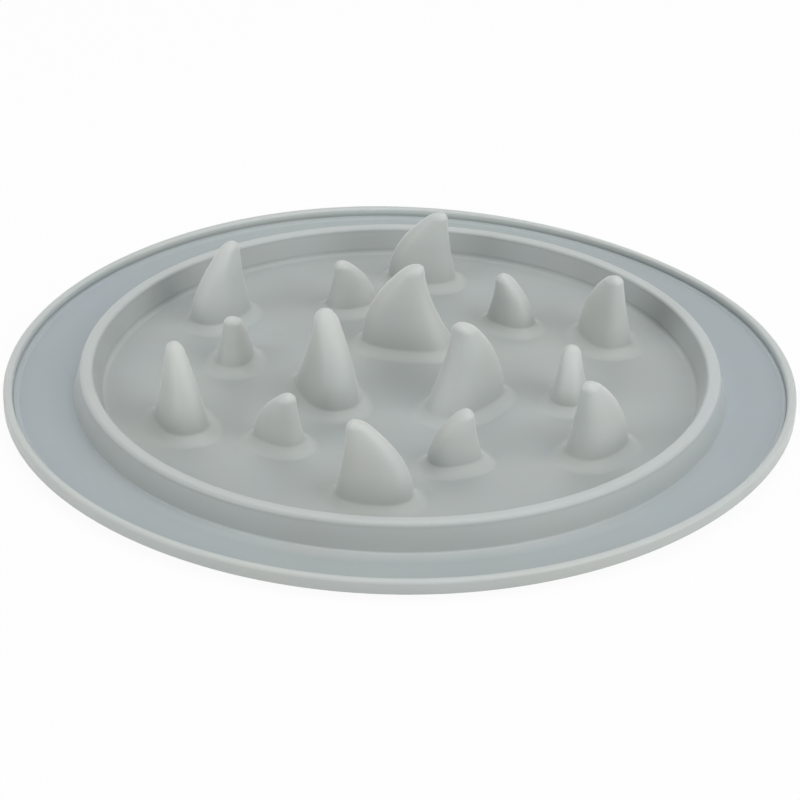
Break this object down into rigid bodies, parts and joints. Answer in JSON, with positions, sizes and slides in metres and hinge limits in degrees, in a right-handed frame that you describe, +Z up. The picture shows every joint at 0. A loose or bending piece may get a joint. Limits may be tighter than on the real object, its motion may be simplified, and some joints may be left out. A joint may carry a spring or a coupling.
{
  "type": "slow feeder mat",
  "caption": "Round soft mat with a raised edge lip, a low bowl wall and rings of flexible shark-fin prongs that slow a pet's eating.",
  "frame": {"origin": "centre of the mat's underside", "axes": "+Z up out of the bowl, along the mat's turning axis; +X and +Y lie in the underside"},
  "size_m": [0.28, 0.28, 0.0346],
  "materials": {
    "sheet": "matt grey silicone",
    "lip": "matt grey silicone",
    "wall": "matt grey silicone",
    "fin_root": "matt grey silicone",
    "fin": "matt grey silicone"
  },
  "bodies": {
    "mat": {"base_mat": "sheet", "mat_flange": "sheet", "edge_lip": "lip", "bowl_wall": "wall", "outer_fin_root_1": "fin_root", "outer_fin_root_2": "fin_root", "outer_fin_root_3": "fin_root", "outer_fin_root_4": "fin_root", "outer_fin_root_5": "fin_root", "outer_fin_root_6": "fin_root", "middle_fin_root_1": "fin_root", "middle_fin_root_2": "fin_root", "middle_fin_root_3": "fin_root", "middle_fin_root_4": "fin_root", "middle_fin_root_5": "fin_root", "middle_fin_root_6": "fin_root", "inner_fin_root_1": "fin_root", "inner_fin_root_2": "fin_root", "inner_fin_root_3": "fin_root"},
    "outer_fin_1": {"outer_fin_1": "fin"},
    "outer_fin_2": {"outer_fin_2": "fin"},
    "outer_fin_3": {"outer_fin_3": "fin"},
    "outer_fin_4": {"outer_fin_4": "fin"},
    "outer_fin_5": {"outer_fin_5": "fin"},
    "outer_fin_6": {"outer_fin_6": "fin"},
    "middle_fin_1": {"middle_fin_1": "fin"},
    "middle_fin_2": {"middle_fin_2": "fin"},
    "middle_fin_3": {"middle_fin_3": "fin"},
    "middle_fin_4": {"middle_fin_4": "fin"},
    "middle_fin_5": {"middle_fin_5": "fin"},
    "middle_fin_6": {"middle_fin_6": "fin"},
    "inner_fin_1": {"inner_fin_1": "fin"},
    "inner_fin_2": {"inner_fin_2": "fin"},
    "inner_fin_3": {"inner_fin_3": "fin"}
  },
  "joints": [
    {"name": "outer_fin_1_flex", "type": "hinge", "parent": "mat", "child": "outer_fin_1", "pos_m": [0.07507, 0.03421, 0.0058], "axis": [-0.3665, 0.9304, 0], "range_deg": [-12, 12], "stiffness_Nm_per_rad": 1},
    {"name": "outer_fin_2_flex", "type": "hinge", "parent": "mat", "child": "outer_fin_2", "pos_m": [0.00791, 0.08212, 0.0058], "axis": [-0.989, 0.1478, 0], "range_deg": [-12, 12], "stiffness_Nm_per_rad": 1},
    {"name": "outer_fin_3_flex", "type": "hinge", "parent": "mat", "child": "outer_fin_3", "pos_m": [-0.06717, 0.04791, 0.0058], "axis": [-0.6225, -0.7826, 0], "range_deg": [-12, 12], "stiffness_Nm_per_rad": 1},
    {"name": "outer_fin_4_flex", "type": "hinge", "parent": "mat", "child": "outer_fin_4", "pos_m": [-0.07507, -0.03421, 0.0058], "axis": [0.3665, -0.9304, 0], "range_deg": [-12, 12], "stiffness_Nm_per_rad": 1},
    {"name": "outer_fin_5_flex", "type": "hinge", "parent": "mat", "child": "outer_fin_5", "pos_m": [-0.00791, -0.08212, 0.0058], "axis": [0.989, -0.1478, 0], "range_deg": [-12, 12], "stiffness_Nm_per_rad": 1},
    {"name": "outer_fin_6_flex", "type": "hinge", "parent": "mat", "child": "outer_fin_6", "pos_m": [0.06717, -0.04791, 0.0058], "axis": [0.6225, 0.7826, 0], "range_deg": [-12, 12], "stiffness_Nm_per_rad": 1},
    {"name": "middle_fin_1_flex", "type": "hinge", "parent": "mat", "child": "middle_fin_1", "pos_m": [0.04082, 0.04533, 0.0058], "axis": [0.7986, -0.6018, 0], "range_deg": [-12, 12], "stiffness_Nm_per_rad": 0.45},
    {"name": "middle_fin_2_flex", "type": "hinge", "parent": "mat", "child": "middle_fin_2", "pos_m": [-0.01885, 0.05801, 0.0058], "axis": [0.9205, 0.3907, 0], "range_deg": [-12, 12], "stiffness_Nm_per_rad": 0.45},
    {"name": "middle_fin_3_flex", "type": "hinge", "parent": "mat", "child": "middle_fin_3", "pos_m": [-0.05967, 0.01268, 0.0058], "axis": [0.1219, 0.9925, 0], "range_deg": [-12, 12], "stiffness_Nm_per_rad": 0.45},
    {"name": "middle_fin_4_flex", "type": "hinge", "parent": "mat", "child": "middle_fin_4", "pos_m": [-0.04082, -0.04533, 0.0058], "axis": [-0.7986, 0.6018, 0], "range_deg": [-12, 12], "stiffness_Nm_per_rad": 0.45},
    {"name": "middle_fin_5_flex", "type": "hinge", "parent": "mat", "child": "middle_fin_5", "pos_m": [0.01885, -0.05801, 0.0058], "axis": [-0.9205, -0.3907, 0], "range_deg": [-12, 12], "stiffness_Nm_per_rad": 0.45},
    {"name": "middle_fin_6_flex", "type": "hinge", "parent": "mat", "child": "middle_fin_6", "pos_m": [0.05967, -0.01268, 0.0058], "axis": [-0.1219, -0.9925, 0], "range_deg": [-12, 12], "stiffness_Nm_per_rad": 0.45},
    {"name": "inner_fin_1_flex", "type": "hinge", "parent": "mat", "child": "inner_fin_1", "pos_m": [0.00268, 0.02787, 0.0058], "axis": [-0.9863, 0.165, 0], "range_deg": [-12, 12], "stiffness_Nm_per_rad": 1.8},
    {"name": "inner_fin_2_flex", "type": "hinge", "parent": "mat", "child": "inner_fin_2", "pos_m": [-0.02548, -0.01161, 0.0058], "axis": [0.3502, -0.9367, 0], "range_deg": [-12, 12], "stiffness_Nm_per_rad": 1.8},
    {"name": "inner_fin_3_flex", "type": "hinge", "parent": "mat", "child": "inner_fin_3", "pos_m": [0.02279, -0.01626, 0.0058], "axis": [0.6361, 0.7716, 0], "range_deg": [-12, 12], "stiffness_Nm_per_rad": 1.8}
  ]
}
